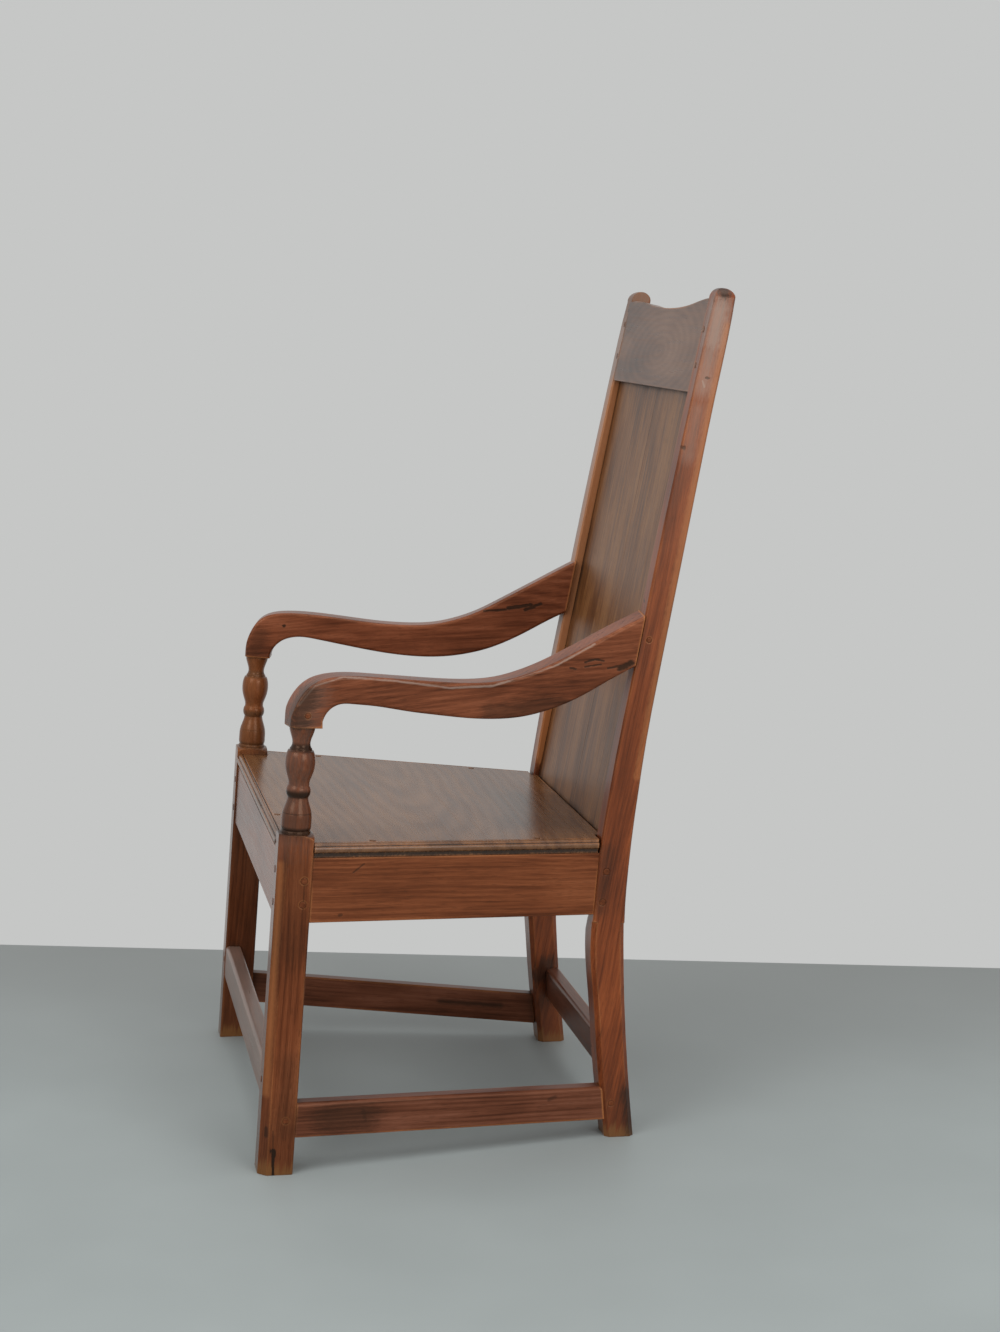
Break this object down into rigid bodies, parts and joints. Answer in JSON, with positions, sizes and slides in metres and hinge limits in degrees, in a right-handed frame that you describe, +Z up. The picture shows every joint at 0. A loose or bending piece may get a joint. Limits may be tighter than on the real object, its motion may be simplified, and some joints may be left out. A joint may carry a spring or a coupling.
{
  "type": "wainscot armchair",
  "caption": "High-backed joined wooden armchair with a panelled back, serpentine arms on turned supports, a solid moulded seat and box stretchers.",
  "frame": {"origin": "middle of the footprint on the floor, midway in depth between the front of the front legs and the back of the post tops, on the middle plane", "axes": "+Z up, the chair faces -Y, +X is the sitter's left"},
  "size_m": [0.6568, 0.6279, 1.149],
  "materials": {
    "frame_wood": "old waxed wood, reddish brown, worn lighter on its arrises",
    "rail_wood": "old waxed wood, reddish brown, worn lighter on its arrises",
    "stretcher_wood": "old waxed wood, reddish brown, worn lighter on its arrises",
    "panel_wood": "old waxed wood, reddish brown, worn lighter on its arrises",
    "seat_wood": "old waxed wood, reddish brown, worn lighter on its arrises",
    "arm_wood": "old waxed wood, reddish brown, worn lighter on its arrises",
    "peg_wood": "old waxed wood, reddish brown, worn lighter on its arrises"
  },
  "bodies": {
    "root": {"front_leg_left": "frame_wood", "front_leg_right": "frame_wood", "back_post_left": "frame_wood", "back_post_right": "frame_wood", "seat_rail_front": "rail_wood", "seat_rail_back": "rail_wood", "seat_rail_left": "rail_wood", "seat_rail_right": "rail_wood", "front_stretcher": "stretcher_wood", "back_stretcher": "stretcher_wood", "side_stretcher_left": "stretcher_wood", "side_stretcher_right": "stretcher_wood", "crest_rail": "panel_wood", "panel_board_left": "panel_wood", "panel_board_right": "panel_wood", "seat_board": "seat_wood", "arm_left": "arm_wood", "arm_right": "arm_wood", "rail_pegs": "peg_wood", "stretcher_pegs": "peg_wood", "crest_pegs": "peg_wood", "arm_pegs": "peg_wood", "seat_pegs": "peg_wood"}
  },
  "joints": []
}
